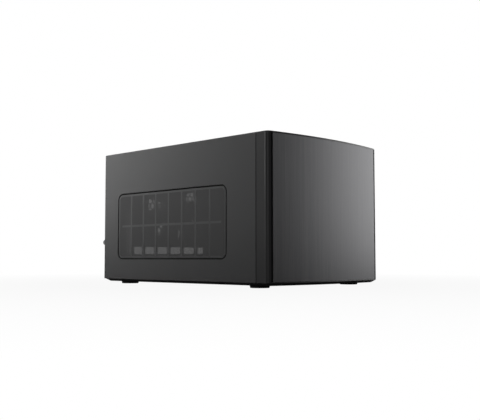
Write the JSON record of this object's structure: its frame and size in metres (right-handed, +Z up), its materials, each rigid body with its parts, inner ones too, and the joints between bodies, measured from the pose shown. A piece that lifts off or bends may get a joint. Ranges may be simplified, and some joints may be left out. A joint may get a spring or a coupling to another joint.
{
  "type": "mini itx pc case",
  "caption": "Small black computer case with a bowed brushed front, a slide-off cover, a filtered side window, filters, fans, drive brackets and front ports.",
  "frame": {"origin": "middle of the whole object's footprint, on the surface its feet stand on", "axes": "+Z up, +Y towards the rear, +X towards the case's right side as seen from its front"},
  "size_m": [0.25, 0.386, 0.21],
  "materials": {
    "cover_steel": "black satin powder coat",
    "frame_steel": "black powder coat",
    "front_aluminium": "black anodised, brushed upright",
    "bezel_plastic": "fine textured black",
    "filter_plastic": "black",
    "filter_mesh": "fine black nylon mesh",
    "foot_rubber": "black",
    "grommet_rubber": "black",
    "bracket_steel": "white powder coat",
    "screw_steel": "black zinc",
    "standoff_brass": "plain",
    "fan_frame_plastic": "black",
    "fan_rotor_plastic": "white",
    "port_metal": "nickel plated",
    "port_insert": "blue",
    "port_plastic": "black",
    "circuit_board": "green solder mask",
    "light_pipe": "clear moulding"
  },
  "bodies": {
    "chassis": {"base_tray": "frame_steel", "front_frame": "frame_steel", "rear_panel": "frame_steel", "upper_rail_left": "frame_steel", "upper_rail_right": "frame_steel", "drive_crossbar": "frame_steel", "psu_bracket": "frame_steel", "slot_cover_1": "frame_steel", "slot_cover_2": "frame_steel", "front_filter_frame": "filter_plastic", "front_filter_mesh": "filter_mesh", "foot_front_left": "foot_rubber", "foot_rear_left": "foot_rubber", "foot_front_right": "foot_rubber", "foot_rear_right": "foot_rubber", "psu_pads": "foot_rubber", "drive_grommets_1": "grommet_rubber", "drive_grommets_2": "grommet_rubber", "drive_grommets_3": "grommet_rubber", "drive_bracket_1": "bracket_steel", "drive_bracket_2": "bracket_steel", "drive_bracket_3": "bracket_steel", "slot_thumbscrews": "screw_steel", "bracket_thumbscrews": "screw_steel", "foot_screws": "screw_steel", "fan_screws": "screw_steel", "mains_inlet_screws": "screw_steel", "motherboard_standoffs": "standoff_brass", "front_fan_frame_left": "fan_frame_plastic", "front_fan_frame_right": "fan_frame_plastic", "rear_fan_frame": "fan_frame_plastic", "mains_inlet_blades": "port_metal", "mains_inlet": "port_plastic", "fan_switch_housing": "port_plastic"},
    "cover": {"cover": "cover_steel", "cover_thumbscrews": "screw_steel", "side_filter_frame": "filter_plastic", "side_filter_mesh": "filter_mesh"},
    "front_panel": {"front_bezel": "bezel_plastic", "front_plate": "front_aluminium", "port_circuit_board": "circuit_board", "usb_port_1": "port_metal", "usb_port_2": "port_metal", "usb_tongue_1": "port_insert", "usb_tongue_2": "port_insert", "microphone_jack": "port_plastic", "headphone_jack": "port_plastic", "power_switch": "port_plastic", "light_pipe": "light_pipe"},
    "power_button": {"power_button": "bezel_plastic"},
    "intake_filter": {"intake_filter_frame": "filter_plastic", "intake_filter_mesh": "filter_mesh"},
    "front_fan_rotor_left": {"front_fan_rotor_left": "fan_rotor_plastic"},
    "front_fan_rotor_right": {"front_fan_rotor_right": "fan_rotor_plastic"},
    "rear_fan_rotor": {"rear_fan_rotor": "fan_rotor_plastic"},
    "fan_switch_slider": {"fan_switch_slider": "port_plastic"}
  },
  "joints": [
    {"name": "cover_slide", "type": "slide", "parent": "chassis", "child": "cover", "axis": [0, 1, 0], "range_m": [0, 0.345]},
    {"name": "front_panel_pull", "type": "slide", "parent": "chassis", "child": "front_panel", "axis": [0, -1, 0], "range_m": [0, 0.06]},
    {"name": "power_button_press", "type": "slide", "parent": "front_panel", "child": "power_button", "axis": [-1, 0, 0], "range_m": [0, 0.0012], "stiffness_N_per_m": 1000, "springref_m": -0.0008},
    {"name": "intake_filter_slide", "type": "slide", "parent": "chassis", "child": "intake_filter", "axis": [1, 0, 0], "range_m": [0, 0.168]},
    {"name": "front_fan_left_spin", "type": "hinge", "parent": "chassis", "child": "front_fan_rotor_left", "pos_m": [-0.051, -0.159, 0.106], "axis": [0, 1, 0], "continuous": true},
    {"name": "front_fan_right_spin", "type": "hinge", "parent": "chassis", "child": "front_fan_rotor_right", "pos_m": [0.051, -0.159, 0.106], "axis": [0, 1, 0], "continuous": true},
    {"name": "rear_fan_spin", "type": "hinge", "parent": "chassis", "child": "rear_fan_rotor", "pos_m": [0.012, 0.166, 0.131], "axis": [0, 1, 0], "continuous": true},
    {"name": "fan_switch_slide", "type": "slide", "parent": "chassis", "child": "fan_switch_slider", "axis": [1, 0, 0], "range_m": [-0.0025, 0.0025]}
  ]
}
